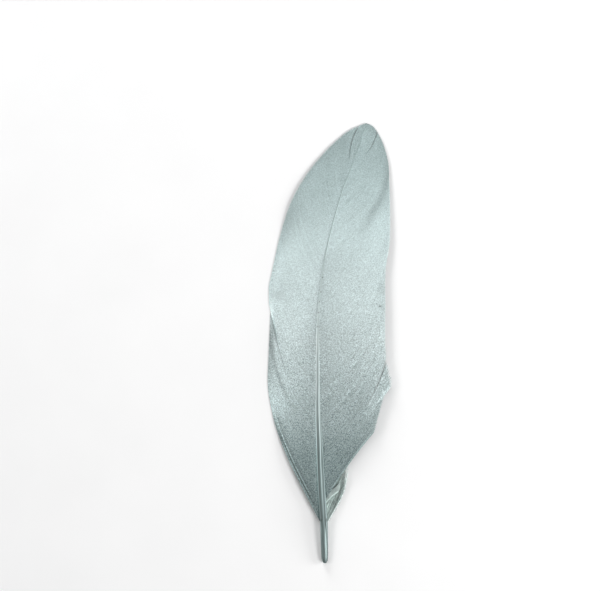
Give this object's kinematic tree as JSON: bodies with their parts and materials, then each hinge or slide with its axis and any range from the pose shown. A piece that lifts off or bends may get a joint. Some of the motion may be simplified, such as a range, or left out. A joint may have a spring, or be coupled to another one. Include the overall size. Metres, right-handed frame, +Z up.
{
  "type": "goose quill feather",
  "caption": "Silver-painted goose quill feather lying face up: bare quill, tapering shaft, two curved vanes of barbs in locks with splits, and a small loose tuft at the base.",
  "frame": {"origin": "middle of the feather's box, on the surface that it lies on", "axes": "+Y along the shaft from the quill's end to the feather's tip, +Z up from the surface, +X towards the wider vane"},
  "size_m": [0.0466, 0.1649, 0.006],
  "materials": {
    "silver_paint": "satin metallic silver spray paint over feather"
  },
  "bodies": {
    "root": {"feather": "silver_paint"}
  },
  "joints": []
}
